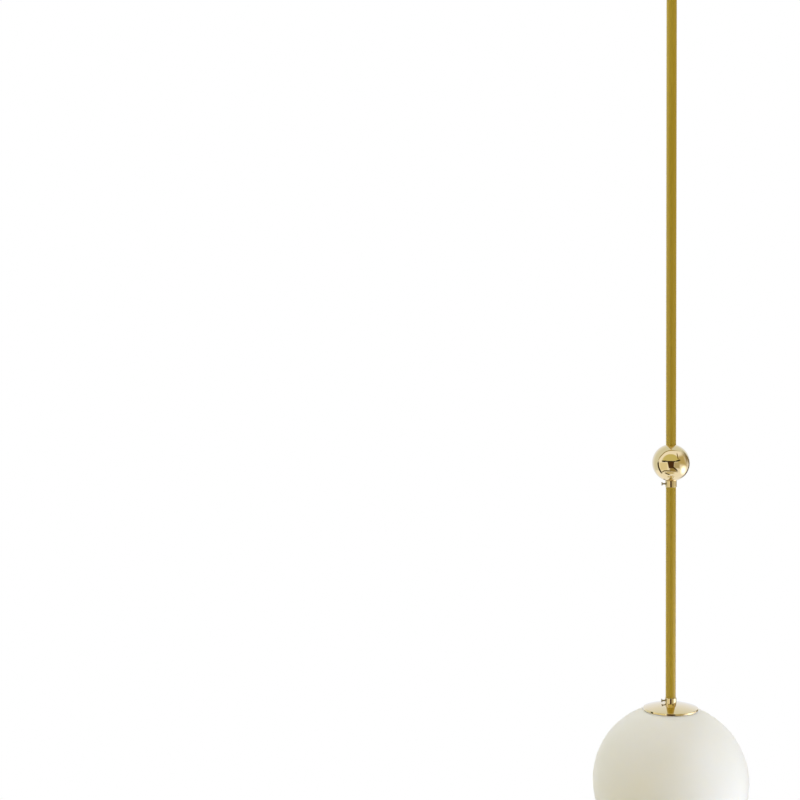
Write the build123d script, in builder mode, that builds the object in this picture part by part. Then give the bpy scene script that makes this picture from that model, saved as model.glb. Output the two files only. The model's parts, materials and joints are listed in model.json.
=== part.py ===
import os
from math import cos, radians, sin, sqrt

from build123d import *

os.makedirs("parts", exist_ok=True)

# Pendant ceiling light. Sizes are in millimetres. The ceiling is the plane z = 0 and the stem hangs down the Z axis.

# Stem
rod_diameter = 13.0
rod_bore = 9.0
rod_edge = 0.4
upper_rod_length = 681.0
lower_rod_length = 273.2

# M10 x 1 fine thread that joins the stem
thread_diameter = 10.0
thread_depth = 14.0
nipple_reach = 12.0
nipple_bore = 7.0
thread_clearance = 0.05
nut_flats = 14.0
nut_height = 5.0

# Ball and collars
ball_diameter = 48.0
ball_wall = 2.0
collar_diameter = 15.0
collar_height = 7.0
collar_edge = 0.4
hole_clearance = 0.1

# Lock screws
lock_diameter = 2.5
lock_setback = 4.0
lock_reach = 4.8
lock_head_diameter = 4.4
lock_head_height = 1.5
lock_slot_width = 0.7
lock_slot_depth = 0.6
lock_clearance = 0.05

# Globe and cap
globe_diameter = 200.0
glass_wall = 3.2
globe_opening = 56.0
glass_edge = 1.0
cap_diameter = 70.0
cap_wall = 1.6
cap_lift = 1.2
cap_edge = 0.5
rim_wall = 1.6
glass_clearance = 0.3
gasket_width = 4.5

# Spring gallery
plate_diameter = 40.0
plate_thickness = 1.2
arm_thickness = 0.8
arm_width = 8.0
arm_count = 3
arm_gap = 1.2
arm_start = 9.5
flare_angle = 34.0
flare_length = 8.0
tip_length = 10.0
arm_bend = 2.0
rivet_circle = 26.0
rivet_diameter = 2.4
rivet_head_diameter = 4.2
rivet_head_height = 0.5

# Ceiling bracket
strap_thickness = 2.0
strap_width = 22.0
bracket_drop = 24.0
bridge_length = 60.0
web_lean = 2.0
strap_length = 98.0
strap_bend = 3.0
slot_spacing = 80.0
slot_width = 4.6
slot_length = 9.6
washer_thickness = 1.0
washer_diameter = 18.0

# Canopy
canopy_diameter = 110.0
canopy_height = 40.0
canopy_wall = 1.2
canopy_shoulder = 12.0
ceiling_gap = 0.5
slide_clearance = 0.1
canopy_collar_diameter = 20.0
canopy_collar_height = 10.0

# Terminal block
block_near = 10.5
block_length = 16.0
block_width = 18.0
block_height = 15.0
block_step = 9.0
pole_spacing = 9.0
pole_width = 7.6
pole_round = 1.5
clamp_diameter = 5.0
clamp_bore = 3.0
clamp_level = 7.5
clamp_screw_diameter = 3.0
clamp_screw_spacing = 8.0
block_screw_diameter = 2.8
block_screw_head = 5.2
earth_set = 17.0
earth_diameter = 4.0

# Wires
wire_diameter = 2.2
wire_spread = 3.4
wire_bend = 3.0
wire_loop = 16.5
wire_drop_set = 7.8

# Lampholder and bulb
holder_diameter = 28.0
holder_neck = 16.0
holder_cap_height = 20.0
holder_body_height = 30.0
holder_bore = 18.8
insert_diameter = 21.2
insert_height = 11.0
insert_fit = 0.1
spigot_height = 6.0
spigot_diameter = 23.8
terminal_spacing = 8.0
shell_bore = 14.6
shell_wall = 0.4
shell_length = 16.0
contact_drop = 3.0
contact_width = 3.0
contact_thickness = 0.5
screw_cap_diameter = 13.7
screw_cap_length = 16.0
bulb_diameter = 45.0
bulb_neck = 31.0
bulb_wall = 1.0
base_height = 17.0

# Levels that follow from those sizes
bridge_top = -bracket_drop
upper_rod_top = bridge_top - strap_thickness
rod_r = rod_diameter / 2
thread_r = thread_diameter / 2
nipple_r = thread_r - thread_clearance
ball_r = ball_diameter / 2
ball_inner_r = ball_r - ball_wall
upper_rod_bottom = upper_rod_top - upper_rod_length
ball_z = upper_rod_bottom + sqrt(ball_inner_r**2 - rod_r**2)
ball_bottom = ball_z - ball_r
lower_rod_top = ball_bottom - collar_height
lower_rod_bottom = lower_rod_top - lower_rod_length
cap_top = lower_rod_bottom - collar_height
globe_r = globe_diameter / 2
glass_inner_r = globe_r - glass_wall
cap_outer_r = globe_r + cap_lift + cap_wall
cap_inner_r = globe_r + cap_lift
globe_z = cap_top - cap_outer_r
opening_r = globe_opening / 2
plate_top = globe_z + sqrt(cap_inner_r**2 - (plate_diameter / 2) ** 2) - 0.02
plate_bottom = plate_top - plate_thickness
holder_top = plate_bottom - nut_height
holder_joint = holder_top - holder_cap_height
holder_bottom = holder_joint - holder_body_height
ledge_z = holder_joint - spigot_height - 2.0
bulb_top = ledge_z - contact_drop - 0.3
screw_cap_top = bulb_top - 3.0
base_top = screw_cap_top - screw_cap_length
base_bottom = base_top - base_height
bulb_r = bulb_diameter / 2
bulb_z = base_bottom - sqrt(bulb_r**2 - (bulb_neck / 2) ** 2)
nipple_end = bridge_top + washer_thickness + nut_height + 1.0
clamp_z = bridge_top + clamp_level
block_x = block_near + block_length / 2
collar_r = collar_diameter / 2
collar_bore_r = thread_r


def sphere_arc(radius, start, stop, centre):
    middle = (start + stop) / 2
    points = []
    for r in (start, middle, stop):
        points.append((r, centre + sqrt(radius**2 - r**2)))
    return points


def turned(*points):
    with BuildPart() as piece:
        with BuildSketch(Plane.XZ):
            with BuildLine():
                Polyline(*points, close=True)
            make_face()
        revolve(axis=Axis.Z)
    return piece


def rod(top, bottom):
    bore = rod_bore / 2
    return turned(
        (thread_r, top),
        (rod_r - rod_edge, top),
        (rod_r, top - rod_edge),
        (rod_r, bottom + rod_edge),
        (rod_r - rod_edge, bottom),
        (thread_r, bottom),
        (thread_r, bottom + thread_depth),
        (bore, bottom + thread_depth + 0.5),
        (bore, top - thread_depth - 0.5),
        (thread_r, top - thread_depth),
    )


def nipple(top, bottom):
    bore = nipple_bore / 2
    return turned(
        (bore, top),
        (nipple_r - 0.6, top),
        (nipple_r, top - 0.6),
        (nipple_r, bottom + 0.6),
        (nipple_r - 0.6, bottom),
        (bore, bottom),
    )


def hex_nut(bottom):
    with BuildPart() as piece:
        with BuildSketch(Plane.XY.offset(bottom)):
            RegularPolygon(nut_flats / 2, 6, major_radius=False)
            Circle(thread_r, mode=Mode.SUBTRACT)
        extrude(amount=nut_height)
    return piece


def lock_screw(height, tip, seat):
    head_start = seat + lock_reach - lock_head_height
    with BuildPart() as piece:
        with BuildSketch(Plane.YZ.offset(-tip)):
            with Locations((0, height)):
                Circle(lock_diameter / 2 - lock_clearance)
        extrude(amount=-(head_start - tip))
        with BuildSketch(Plane.YZ.offset(-head_start)):
            with Locations((0, height)):
                Circle(lock_head_diameter / 2)
        extrude(amount=-lock_head_height)
        fillet(piece.edges().filter_by(GeomType.CIRCLE).sort_by(Axis.X)[0], 0.3)
        with BuildSketch(Plane.YZ.offset(-seat - lock_reach)):
            with Locations((0, height)):
                Rectangle(lock_slot_width, lock_head_diameter * 1.2)
        extrude(amount=lock_slot_depth, mode=Mode.SUBTRACT)
    return piece


def lock_hole(height, reach):
    with BuildSketch(Plane.YZ) as hole:
        with Locations((0, height)):
            Circle(lock_diameter / 2)
    extrude(hole.sketch, amount=-reach, mode=Mode.SUBTRACT)


def keep(piece, label):
    piece.part.label = label
    export_step(piece.part, f"parts/{label}.step")


# Hat-section strap, slotted in its feet for the ceiling screws
with BuildPart() as ceiling_bracket:
    half_bridge = bridge_length / 2
    with BuildSketch(Plane.XZ):
        with BuildLine():
            FilletPolyline(
                (-strap_length / 2, 0),
                (-half_bridge - web_lean, 0),
                (-half_bridge, bridge_top),
                (half_bridge, bridge_top),
                (half_bridge + web_lean, 0),
                (strap_length / 2, 0),
                radius=strap_bend,
            )
            offset(amount=strap_thickness, side=Side.RIGHT)
        make_face()
    extrude(amount=strap_width / 2, both=True)
    with BuildSketch(Plane.XY):
        with Locations((-slot_spacing / 2, 0), (slot_spacing / 2, 0)):
            SlotOverall(slot_length, slot_width)
    extrude(amount=-strap_thickness - 1, mode=Mode.SUBTRACT)
    with BuildSketch(Plane.XY.offset(bridge_top + 0.5)):
        Circle(thread_r + hole_clearance)
        with Locations((block_x, 0)):
            Circle(block_screw_diameter / 2 + hole_clearance)
        with Locations((-earth_set, 0)):
            Circle(earth_diameter / 2 + hole_clearance)
    extrude(amount=-strap_thickness - 1, mode=Mode.SUBTRACT)
    fillet(ceiling_bracket.edges().filter_by(Axis.Z).group_by(Axis.X)[0], 3)
    fillet(ceiling_bracket.edges().filter_by(Axis.Z).group_by(Axis.X)[-1], 3)
keep(ceiling_bracket, "ceiling_bracket")

# Hardware that carries the stem on the bracket
bracket_nipple = nipple(nipple_end, upper_rod_top - nipple_reach)
keep(bracket_nipple, "bracket_nipple")

bracket_nut = hex_nut(bridge_top + washer_thickness)
keep(bracket_nut, "bracket_nut")

with BuildPart() as bracket_washer:
    with BuildSketch(Plane.XY.offset(bridge_top)):
        Circle(washer_diameter / 2 - 1)
        with PolarLocations(washer_diameter / 2 - 1, 16):
            Rectangle(2, 1.4)
        Circle(thread_r + hole_clearance, mode=Mode.SUBTRACT)
    extrude(amount=washer_thickness)
keep(bracket_washer, "bracket_washer")

bush_bore = wire_spread / 2 + wire_diameter / 2 + 0.2
bush_fit = nipple_bore / 2 - thread_clearance
nipple_bush = turned(
    (bush_bore, nipple_end + 1.4),
    (nipple_r - 0.8, nipple_end + 1.4),
    (nipple_r - 0.2, nipple_end + 0.8),
    (nipple_r - 0.2, nipple_end),
    (bush_fit, nipple_end),
    (bush_fit, nipple_end - 5),
    (bush_bore, nipple_end - 5),
)
keep(nipple_bush, "nipple_bush")

# Two-pole terminal block, its brass tubes and its screws
with BuildPart() as terminal_block:
    with BuildSketch(Plane.XY.offset(bridge_top)):
        with Locations((block_x, 0)):
            RectangleRounded(block_length, block_width, 1)
    extrude(amount=block_step)
    with BuildSketch(Plane.XY.offset(bridge_top + block_step)):
        with Locations((block_x, -pole_spacing / 2), (block_x, pole_spacing / 2)):
            RectangleRounded(block_length - 1, pole_width, pole_round)
    extrude(amount=block_height - block_step)
    with BuildSketch(Plane.YZ.offset(block_near)):
        with Locations((-pole_spacing / 2, clamp_z), (pole_spacing / 2, clamp_z)):
            Circle(clamp_diameter / 2 + 0.02)
    extrude(amount=block_length, mode=Mode.SUBTRACT)
    with BuildSketch(Plane.XY.offset(bridge_top + block_height)):
        with Locations((block_x, 0)):
            with GridLocations(clamp_screw_spacing, pole_spacing, 2, 2):
                Circle(clamp_screw_diameter / 2 + 0.2)
    extrude(amount=-(block_height - clamp_level), mode=Mode.SUBTRACT)
    with BuildSketch(Plane.XY.offset(bridge_top)):
        with Locations((block_x, 0)):
            Circle(block_screw_diameter / 2 + hole_clearance)
    extrude(amount=block_step, mode=Mode.SUBTRACT)
keep(terminal_block, "terminal_block")

with BuildPart() as terminal_clamps:
    with BuildSketch(Plane.YZ.offset(block_near + 1)):
        with Locations((-pole_spacing / 2, clamp_z), (pole_spacing / 2, clamp_z)):
            Circle(clamp_diameter / 2)
            Circle(clamp_bore / 2, mode=Mode.SUBTRACT)
    extrude(amount=block_length - 2)
    with BuildSketch(Plane.XY.offset(clamp_z)):
        with Locations((block_x, 0)):
            with GridLocations(clamp_screw_spacing, pole_spacing, 2, 2):
                Circle(clamp_screw_diameter / 2 + thread_clearance)
    extrude(amount=clamp_diameter, mode=Mode.SUBTRACT)
keep(terminal_clamps, "terminal_clamps")

with BuildPart() as terminal_screws:
    with BuildSketch(Plane.XY.offset(clamp_z + wire_diameter / 2 + 0.05)):
        with Locations((block_x, 0)):
            with GridLocations(clamp_screw_spacing, pole_spacing, 2, 2):
                Circle(clamp_screw_diameter / 2)
    extrude(amount=block_height - clamp_level - wire_diameter / 2 - 1.5)
    with BuildSketch(Plane.XY.offset(bridge_top + block_height - 1.5)):
        with Locations((block_x, 0)):
            with GridLocations(clamp_screw_spacing, pole_spacing, 2, 2):
                Rectangle(clamp_screw_diameter * 1.2, 0.6)
    extrude(amount=-0.7, mode=Mode.SUBTRACT)
keep(terminal_screws, "terminal_screws")

with BuildPart() as block_screw:
    with BuildSketch(Plane.XY.offset(bridge_top - strap_thickness - 2)):
        with Locations((block_x, 0)):
            Circle(block_screw_diameter / 2)
    extrude(amount=strap_thickness + 2 + block_step)
    with BuildSketch(Plane.XY.offset(bridge_top + block_step)):
        with Locations((block_x, 0)):
            SlotOverall(block_screw_head, 1.3)
    extrude(amount=1.6)
keep(block_screw, "block_screw")

with BuildPart() as earth_screw:
    with BuildSketch(Plane.XY.offset(bridge_top)):
        with Locations((-earth_set, 0)):
            Circle(earth_diameter * 1.1)
    extrude(amount=0.8)
    with BuildSketch(Plane.XY.offset(bridge_top + 0.8)):
        with Locations((-earth_set, 0)):
            Circle(earth_diameter)
    extrude(amount=2.6)
    fillet(earth_screw.edges().filter_by(GeomType.CIRCLE).sort_by(Axis.Z)[-1], 0.8)
    with BuildSketch(Plane.XY.offset(bridge_top + 3.4)):
        with Locations((-earth_set, 0)):
            Rectangle(1, earth_diameter * 2.2)
    extrude(amount=-1.2, mode=Mode.SUBTRACT)
    with BuildSketch(Plane.XY.offset(bridge_top)):
        with Locations((-earth_set, 0)):
            Circle(earth_diameter / 2)
    extrude(amount=-strap_thickness - 4)
keep(earth_screw, "earth_screw")

# Canopy and the ring that holds it on the rod
with BuildPart() as canopy:
    with BuildSketch(Plane.XZ):
        with BuildLine():
            FilletPolyline(
                (rod_r + 2 * slide_clearance, -canopy_height),
                (canopy_diameter / 2, -canopy_height),
                (canopy_diameter / 2, -ceiling_gap),
                radius=canopy_shoulder,
            )
            offset(amount=canopy_wall, side=Side.LEFT)
        make_face()
    revolve(axis=Axis.Z)
keep(canopy, "canopy")

canopy_collar_bottom = -canopy_height - canopy_collar_height
canopy_lock_z = -canopy_height - canopy_collar_height / 2
with BuildPart() as canopy_collar:
    with BuildSketch(Plane.XY.offset(canopy_collar_bottom)):
        Circle(canopy_collar_diameter / 2)
        Circle(rod_r + slide_clearance, mode=Mode.SUBTRACT)
    extrude(amount=canopy_collar_height)
    fillet(canopy_collar.edges().group_by(Axis.Z)[0].sort_by(SortBy.RADIUS)[-1], 1.2)
    lock_hole(canopy_lock_z, canopy_collar_diameter)
keep(canopy_collar, "canopy_collar")

canopy_lock_screw = lock_screw(canopy_lock_z, rod_r + 0.1, canopy_collar_diameter / 2)
keep(canopy_lock_screw, "canopy_lock_screw")

# Stem: upper rod, ball, collar and lower rod on one nipple
upper_rod = rod(upper_rod_top, upper_rod_bottom)
keep(upper_rod, "upper_rod")

with BuildPart() as ball:
    with Locations((0, 0, ball_z)):
        Sphere(ball_r)
        Sphere(ball_inner_r, mode=Mode.SUBTRACT)
    with BuildSketch(Plane.XY.offset(ball_z)):
        Circle(rod_r + hole_clearance)
    extrude(amount=ball_diameter, mode=Mode.SUBTRACT)
    with BuildSketch(Plane.XY.offset(ball_z)):
        Circle(thread_r + hole_clearance)
    extrude(amount=-ball_diameter, mode=Mode.SUBTRACT)
keep(ball, "ball")

ball_nipple = nipple(upper_rod_bottom + nipple_reach, lower_rod_top - nipple_reach)
keep(ball_nipple, "ball_nipple")

ball_lock_z = lower_rod_top + lock_setback
with BuildPart() as ball_collar:
    with BuildSketch(Plane.XY.offset(lower_rod_top)):
        Circle(collar_r)
        Circle(collar_bore_r, mode=Mode.SUBTRACT)
    extrude(amount=collar_height + ball_r - sqrt(ball_r**2 - collar_r**2))
    chamfer(ball_collar.edges().group_by(Axis.Z)[0].sort_by(SortBy.RADIUS)[-1], collar_edge)
    with Locations((0, 0, ball_z)):
        Sphere(ball_r, mode=Mode.SUBTRACT)
    lock_hole(ball_lock_z, collar_diameter)
keep(ball_collar, "ball_collar")

ball_lock_screw = lock_screw(ball_lock_z, thread_r + 0.05, collar_r)
keep(ball_lock_screw, "ball_lock_screw")

lower_rod = rod(lower_rod_top, lower_rod_bottom)
keep(lower_rod, "lower_rod")

cap_lock_z = lower_rod_bottom - lock_setback
with BuildPart() as cap_collar:
    with BuildSketch(Plane.XY.offset(lower_rod_bottom)):
        Circle(collar_r)
        Circle(collar_bore_r, mode=Mode.SUBTRACT)
    extrude(amount=-collar_height - cap_outer_r + sqrt(cap_outer_r**2 - collar_r**2))
    chamfer(cap_collar.edges().group_by(Axis.Z)[-1].sort_by(SortBy.RADIUS)[-1], collar_edge)
    with Locations((0, 0, globe_z)):
        Sphere(cap_outer_r, mode=Mode.SUBTRACT)
    lock_hole(cap_lock_z, collar_diameter)
keep(cap_collar, "cap_collar")

cap_lock_screw = lock_screw(cap_lock_z, thread_r + 0.05, collar_r)
keep(cap_lock_screw, "cap_lock_screw")

cap_nipple = nipple(lower_rod_bottom + nipple_reach, holder_top - 8)
keep(cap_nipple, "cap_nipple")

# Spun cap: a dome concentric with the globe, with a rim that follows the glass
cap_r = cap_diameter / 2
cap_hole_r = thread_r + hole_clearance
seat_r = globe_r + glass_clearance
with BuildPart() as globe_cap:
    with BuildSketch(Plane.XZ) as cap_section:
        with BuildLine():
            dome = ThreePointArc(*sphere_arc(cap_outer_r, cap_hole_r, cap_r, globe_z))
            seat = ThreePointArc(*sphere_arc(seat_r, cap_r, cap_r - rim_wall, globe_z))
            under = ThreePointArc(*sphere_arc(cap_inner_r, cap_r - rim_wall, cap_hole_r, globe_z))
            Line(dome @ 1, seat @ 0)
            Line(seat @ 1, under @ 0)
            Line(under @ 1, dome @ 0)
        make_face()
        fillet(cap_section.vertices().sort_by(Axis.X)[-2:].sort_by(Axis.Y)[-1], cap_edge)
    revolve(axis=Axis.Z)
keep(globe_cap, "globe_cap")

gasket_outer = cap_r - rim_wall - hole_clearance
gasket_inner = gasket_outer - gasket_width
gasket_top_r = cap_inner_r - thread_clearance
with BuildPart() as glass_gasket:
    with BuildSketch(Plane.XZ):
        with BuildLine():
            upper = ThreePointArc(*sphere_arc(gasket_top_r, gasket_inner, gasket_outer, globe_z))
            lower = ThreePointArc(*sphere_arc(seat_r, gasket_outer, gasket_inner, globe_z))
            Line(upper @ 1, lower @ 0)
            Line(lower @ 1, upper @ 0)
        make_face()
    revolve(axis=Axis.Z)
keep(glass_gasket, "glass_gasket")

# Opal globe with a ground opening
with BuildPart() as glass_globe:
    with BuildSketch(Plane.XZ) as glass_section:
        with BuildLine():
            outer_rim = globe_z + sqrt(globe_r**2 - opening_r**2)
            inner_rim = globe_z + sqrt(glass_inner_r**2 - opening_r**2)
            ThreePointArc((opening_r, outer_rim), (globe_r, globe_z), (0, globe_z - globe_r))
            Line((0, globe_z - globe_r), (0, globe_z - glass_inner_r))
            ThreePointArc((0, globe_z - glass_inner_r), (glass_inner_r, globe_z), (opening_r, inner_rim))
            Line((opening_r, inner_rim), (opening_r, outer_rim))
        make_face()
        fillet(glass_section.vertices().sort_by(Axis.Y)[-2:], glass_edge)
    revolve(axis=Axis.Z)
keep(glass_globe, "glass_globe")

# Spring gallery: plate, three leaf springs shaped to the glass edge, rivets and nut
rivet_r = rivet_circle / 2
with BuildPart() as gallery_plate:
    with BuildSketch(Plane.XY.offset(plate_bottom)):
        Circle(plate_diameter / 2)
        Circle(thread_r + hole_clearance, mode=Mode.SUBTRACT)
        with PolarLocations(rivet_r, arm_count, start_angle=90):
            Circle(rivet_diameter / 2 + thread_clearance, mode=Mode.SUBTRACT)
    extrude(amount=plate_thickness)
keep(gallery_plate, "gallery_plate")

flare_r = sin(radians(flare_angle))
flare_z = -cos(radians(flare_angle))
stand_off = arm_thickness / 2 + glass_clearance
touch_r = opening_r + flare_z * stand_off
touch_z = inner_rim - flare_r * stand_off
arm_level = plate_bottom - arm_thickness / 2
leg_r = opening_r - arm_gap - arm_thickness / 2
leg_bottom = touch_z + flare_z * (leg_r - touch_r) / flare_r
bulge_r = touch_r + flare_r * flare_length
bulge_z = touch_z + flare_z * flare_length
tip_r = bulge_r - tip_length * sin(radians(flare_angle - 8))
tip_z = bulge_z - tip_length * cos(radians(flare_angle - 8))
with BuildPart() as spring_arms:
    for step in range(arm_count):
        turn = radians(90 + step * 360 / arm_count)
        radial = Plane((0, 0, 0), x_dir=(cos(turn), sin(turn), 0), z_dir=(sin(turn), -cos(turn), 0))
        with BuildSketch(radial):
            with BuildLine():
                FilletPolyline(
                    (arm_start, plate_bottom),
                    (leg_r + arm_thickness / 2, plate_bottom),
                    (leg_r + arm_thickness / 2, leg_bottom),
                    (bulge_r, bulge_z),
                    (tip_r, tip_z),
                    radius=arm_bend,
                )
                offset(amount=arm_thickness, side=Side.RIGHT)
            make_face()
        extrude(amount=arm_width / 2, both=True)
    with BuildSketch(Plane.XY.offset(plate_bottom)):
        with PolarLocations(rivet_r, arm_count, start_angle=90):
            Circle(rivet_diameter / 2 + thread_clearance)
    extrude(amount=-arm_thickness * 2, mode=Mode.SUBTRACT)
keep(spring_arms, "spring_arms")

with BuildPart() as gallery_rivets:
    rivet_bottom = plate_bottom - arm_thickness
    with BuildSketch(Plane.XY.offset(rivet_bottom)):
        with PolarLocations(rivet_r, arm_count, start_angle=90):
            Circle(rivet_diameter / 2)
    extrude(amount=plate_thickness + arm_thickness)
    for face_z, height in ((plate_top, rivet_head_height), (rivet_bottom, -rivet_head_height)):
        with BuildSketch(Plane.XY.offset(face_z)):
            with PolarLocations(rivet_r, arm_count, start_angle=90):
                Circle(rivet_head_diameter / 2)
        extrude(amount=height)
keep(gallery_rivets, "gallery_rivets")

gallery_nut = hex_nut(plate_bottom - nut_height)
keep(gallery_nut, "gallery_nut")

# Lampholder
holder_r = holder_diameter / 2
spigot_r = spigot_diameter / 2
insert_r = insert_diameter / 2
socket_r = spigot_r + hole_clearance
bore_r = holder_bore / 2
holder_cap = turned(
    (thread_r, holder_top),
    (holder_neck / 2 - 0.6, holder_top),
    (holder_neck / 2, holder_top - 0.6),
    (holder_neck / 2, holder_top - 5),
    (holder_r - 1.5, holder_top - 10.5),
    (holder_r, holder_top - 12.5),
    (holder_r, holder_joint),
    (socket_r, holder_joint),
    (socket_r, holder_joint + spigot_height + 1),
    (thread_r, holder_top - 10),
)
keep(holder_cap, "holder_cap")

holder_body = turned(
    (insert_r + insert_fit, holder_joint + spigot_height),
    (spigot_r, holder_joint + spigot_height),
    (spigot_r, holder_joint),
    (holder_r, holder_joint),
    (holder_r, holder_bottom + 1),
    (holder_r - 1, holder_bottom),
    (bore_r, holder_bottom),
    (bore_r, ledge_z),
    (insert_r + insert_fit, ledge_z),
)
keep(holder_body, "holder_body")

with BuildPart() as holder_insert:
    with BuildSketch(Plane.XY.offset(ledge_z)):
        Circle(insert_r)
    extrude(amount=insert_height)
    with BuildSketch(Plane.XY.offset(ledge_z + insert_height)):
        with Locations((0, -terminal_spacing / 2), (0, terminal_spacing / 2)):
            Circle(wire_diameter / 2 + hole_clearance)
    extrude(amount=-insert_height + 2, mode=Mode.SUBTRACT)
keep(holder_insert, "holder_insert")

shell_r = shell_bore / 2
holder_shell = turned(
    (shell_r, ledge_z),
    (bore_r - 0.2, ledge_z),
    (bore_r - 0.2, ledge_z - shell_wall),
    (shell_r + shell_wall, ledge_z - shell_wall),
    (shell_r + shell_wall, ledge_z - shell_length),
    (shell_r, ledge_z - shell_length),
)
keep(holder_shell, "holder_shell")

with BuildPart() as holder_contact:
    with BuildSketch(Plane.XZ):
        with BuildLine():
            FilletPolyline(
                (-shell_r + 1, ledge_z),
                (-shell_r / 3, ledge_z),
                (0, ledge_z - contact_drop + contact_thickness),
                (shell_r / 2, ledge_z - contact_drop + contact_thickness),
                radius=0.6,
            )
            offset(amount=contact_thickness, side=Side.RIGHT)
        make_face()
    extrude(amount=contact_width / 2, both=True)
keep(holder_contact, "holder_contact")

# Bulb
screw_r = screw_cap_diameter / 2
bulb_tip = turned(
    (0, bulb_top),
    (1.8, bulb_top),
    (2.6, bulb_top - 0.8),
    (2.6, bulb_top - 1.4),
    (3.4, bulb_top - 1.4),
    (screw_r - 0.6, screw_cap_top),
    (0, screw_cap_top),
)
keep(bulb_tip, "bulb_tip")

bulb_screw_cap = turned(
    (0, screw_cap_top),
    (screw_r - 0.6, screw_cap_top),
    (screw_r, screw_cap_top - 1.2),
    (screw_r, base_top),
    (0, base_top),
)
keep(bulb_screw_cap, "bulb_screw_cap")

neck_r = bulb_neck / 2
bulb_base = turned(
    (0, base_top),
    (screw_r + 0.6, base_top),
    (screw_r + 0.9, base_top - 2),
    (screw_r + 2.6, base_top - 5),
    (neck_r - 0.8, base_bottom + 1.5),
    (neck_r, base_bottom),
    (0, base_bottom),
)
keep(bulb_base, "bulb_base")

with BuildPart() as bulb_diffuser:
    with BuildSketch(Plane.XZ):
        with BuildLine():
            inside_r = bulb_r - bulb_wall
            inside_neck = sqrt(inside_r**2 - (base_bottom - bulb_z) ** 2)
            ThreePointArc((neck_r, base_bottom), (bulb_r, bulb_z), (0, bulb_z - bulb_r))
            Line((0, bulb_z - bulb_r), (0, bulb_z - inside_r))
            ThreePointArc((0, bulb_z - inside_r), (inside_r, bulb_z), (inside_neck, base_bottom))
            Line((inside_neck, base_bottom), (neck_r, base_bottom))
        make_face()
    revolve(axis=Axis.Z)
keep(bulb_diffuser, "bulb_diffuser")


# Wires: from the terminal block over the nut, down the stem and into the insert
def wire(side):
    loop_z = bridge_top + wire_loop
    block_y = side * pole_spacing / 2
    stem_y = side * wire_spread / 2
    end_y = side * terminal_spacing / 2
    fan_top = holder_top - 9
    fan_bottom = ledge_z + insert_height + 1
    with BuildPart() as piece:
        with BuildLine() as route:
            FilletPolyline(
                (block_near + 7, block_y, clamp_z),
                (wire_drop_set, block_y, clamp_z),
                (wire_drop_set, block_y, loop_z),
                (0, stem_y, loop_z),
                (0, stem_y, fan_top),
                (0, end_y, fan_bottom),
                (0, end_y, ledge_z + 3),
                radius=wire_bend,
            )
        with BuildSketch(Plane.YZ.offset(block_near + 7)):
            with Locations((block_y, clamp_z)):
                Circle(wire_diameter / 2)
        sweep(path=route.line)
    return piece


live_wire = wire(1)
keep(live_wire, "live_wire")

neutral_wire = wire(-1)
keep(neutral_wire, "neutral_wire")

print("overall drop", globe_r - globe_z, "ball", ball_z, "globe", globe_z, "bulb end", bulb_z - bulb_r)
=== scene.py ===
import json
import math

import bmesh
import bpy
from mathutils import Matrix, Vector


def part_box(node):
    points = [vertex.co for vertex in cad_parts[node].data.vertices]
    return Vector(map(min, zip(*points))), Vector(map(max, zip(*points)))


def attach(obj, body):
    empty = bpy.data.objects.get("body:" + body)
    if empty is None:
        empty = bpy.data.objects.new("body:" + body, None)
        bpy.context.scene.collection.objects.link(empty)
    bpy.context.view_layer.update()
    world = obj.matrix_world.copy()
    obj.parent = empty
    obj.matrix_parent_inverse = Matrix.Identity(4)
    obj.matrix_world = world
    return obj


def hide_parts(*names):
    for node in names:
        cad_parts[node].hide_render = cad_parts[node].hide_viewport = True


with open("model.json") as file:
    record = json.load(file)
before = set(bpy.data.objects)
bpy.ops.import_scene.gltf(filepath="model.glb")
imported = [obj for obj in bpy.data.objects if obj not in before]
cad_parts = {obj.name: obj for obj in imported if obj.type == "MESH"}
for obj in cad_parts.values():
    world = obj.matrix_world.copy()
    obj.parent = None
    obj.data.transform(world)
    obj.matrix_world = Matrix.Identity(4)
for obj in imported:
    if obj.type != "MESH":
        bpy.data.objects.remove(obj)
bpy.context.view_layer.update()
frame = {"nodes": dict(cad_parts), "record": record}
cadNodes = frame["nodes"]
scene = bpy.context.scene
mm = 0.001


def linear(colour):
    # sRGB hex to the linear values that the sockets take
    parts = [int(colour[i:i + 2], 16) / 255 for i in (1, 3, 5)]
    return [c / 12.92 if c <= 0.04045 else ((c + 0.055) / 1.055) ** 2.4 for c in parts] + [1.0]


def addNode(tree, kind, settings=None, values=None, links=None):
    # one node with its settings, its own values and the outputs that feed it
    node = tree.nodes.new(kind)
    for name, value in (settings or {}).items():
        setattr(node, name, value)
    for socket, value in (values or {}).items():
        node.inputs[socket].default_value = value
    for socket, source in (links or {}).items():
        tree.links.new(source, node.inputs[socket])
    return node


def emptyTree(owner):
    # the cleared node tree of a material or a world
    owner.use_nodes = True
    owner.node_tree.nodes.clear()
    return owner.node_tree


def startFinish(name, values):
    # a material with its shader, and the piece's own coordinates in metres
    material = bpy.data.materials.new(name)
    tree = emptyTree(material)
    shader = addNode(tree, "ShaderNodeBsdfPrincipled", {"name": "shader"}, values)
    addNode(tree, "ShaderNodeOutputMaterial", links={"Surface": shader.outputs["BSDF"]})
    addNode(tree, "ShaderNodeTexCoord", {"name": "place"})
    return material


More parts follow.
